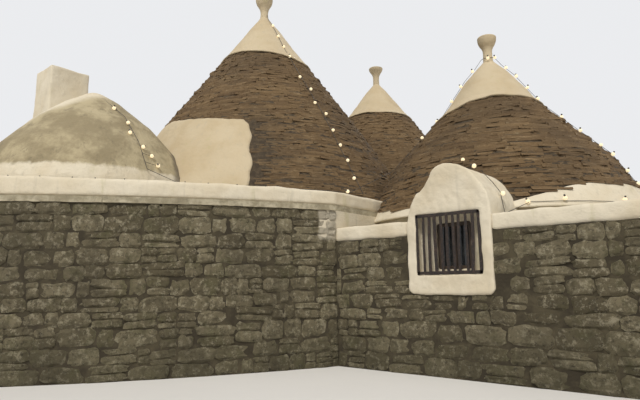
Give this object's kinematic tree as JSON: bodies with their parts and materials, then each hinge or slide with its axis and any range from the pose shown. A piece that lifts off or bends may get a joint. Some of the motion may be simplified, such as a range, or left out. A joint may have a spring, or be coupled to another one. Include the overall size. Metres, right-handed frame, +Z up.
{
  "type": "trullo house",
  "caption": "Trullo house of dry stone with three conical slab roofs, a plastered dome, a chimney and a gabled window surround.",
  "frame": {"origin": "ground level on the axis of the main cone", "axes": "+X along the window wall towards its free end, +Y into the building, +Z up"},
  "size_m": [13.642, 16.8539, 9.1],
  "materials": {
    "cable_sheath": "matte",
    "cornice_slabs": "rough",
    "dry_stone": "rough",
    "limewash": "matte",
    "painted_wood": "worn",
    "roof_slabs": "rough",
    "terrace_stone": "worn",
    "weathered_mortar": "rough",
    "window_glass": "clear",
    "wrought_iron": "rusty"
  },
  "bodies": {
    "root": {"block_cornice": "cornice_slabs", "block_light_cable": "cable_sheath", "block_parapet": "limewash", "block_terrace": "terrace_stone", "chimney_stack": "limewash", "dome_band": "limewash", "dome_shell": "weathered_mortar", "dome_wall_left": "dry_stone", "dome_wall_right": "dry_stone", "door_frame": "painted_wood", "door_leaf": "painted_wood", "floor": "terrace_stone", "main_cone_cap": "limewash", "main_cone_drum": "dry_stone", "main_cone_lower": "roof_slabs", "main_cone_plaster": "limewash", "main_cone_upper": "roof_slabs", "main_pinnacle": "limewash", "main_wall_back_left": "dry_stone", "main_wall_back_right": "dry_stone", "main_wall_front_left": "dry_stone", "main_wall_front_right": "dry_stone", "rear_cone_cap": "limewash", "rear_cone_drum": "dry_stone", "rear_cone_lower": "roof_slabs", "rear_cone_upper": "roof_slabs", "rear_pinnacle": "limewash", "rear_wall_left": "dry_stone", "rear_wall_right": "dry_stone", "window_casement": "painted_wood", "window_glass": "window_glass", "window_grille_frame": "wrought_iron", "window_surround": "limewash", "wing_cone_cap": "limewash", "wing_cone_drum": "limewash", "wing_cone_lower": "roof_slabs", "wing_cone_upper": "roof_slabs", "wing_coping": "limewash", "wing_light_cable": "cable_sheath", "wing_pinnacle": "limewash", "wing_terrace": "terrace_stone", "wing_wall_back_left": "dry_stone", "wing_wall_back_right": "dry_stone", "wing_wall_front_left": "dry_stone", "wing_wall_front_right": "dry_stone"}
  },
  "joints": []
}
